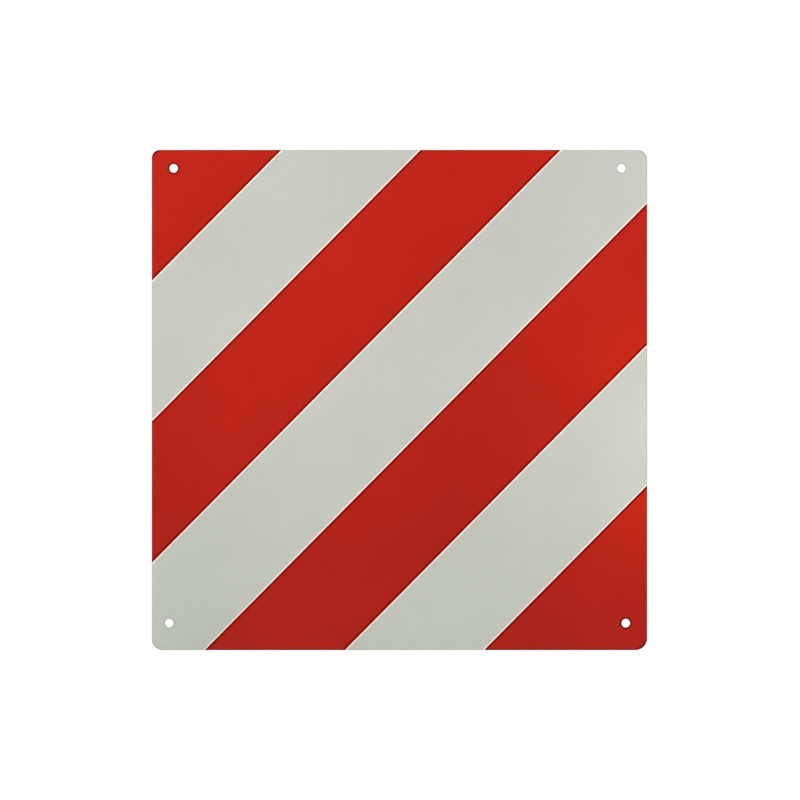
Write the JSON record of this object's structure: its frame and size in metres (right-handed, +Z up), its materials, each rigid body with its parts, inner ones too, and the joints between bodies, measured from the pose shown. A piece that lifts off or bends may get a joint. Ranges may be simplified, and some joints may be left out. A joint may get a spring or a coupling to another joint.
{
  "type": "hazard warning panel",
  "caption": "Square aluminium hazard panel faced with slanted red and white reflective film strips, with a bolt hole near each corner for fixing it to a carrier, a load or a barrier.",
  "frame": {"origin": "centre of the plate's back face", "axes": "+X to the right and +Z up as the striped face is read, +Y out of the back, so the face looks along -Y"},
  "size_m": [0.5, 0.0012, 0.5],
  "materials": {
    "mill_finish_aluminium": "mill finish with fine upright rolling lines",
    "red_reflective_film": "satin beaded reflective film",
    "white_reflective_film": "satin beaded reflective film",
    "clear_adhesive": "dull clear acrylic adhesive"
  },
  "bodies": {
    "root": {"backing_plate": "mill_finish_aluminium", "red_film_1": "red_reflective_film", "red_film_1_adhesive": "clear_adhesive", "white_film_1": "white_reflective_film", "white_film_1_adhesive": "clear_adhesive", "red_film_2": "red_reflective_film", "red_film_2_adhesive": "clear_adhesive", "white_film_2": "white_reflective_film", "white_film_2_adhesive": "clear_adhesive", "red_film_3": "red_reflective_film", "red_film_3_adhesive": "clear_adhesive", "white_film_3": "white_reflective_film", "white_film_3_adhesive": "clear_adhesive", "red_film_4": "red_reflective_film", "red_film_4_adhesive": "clear_adhesive"}
  },
  "joints": []
}
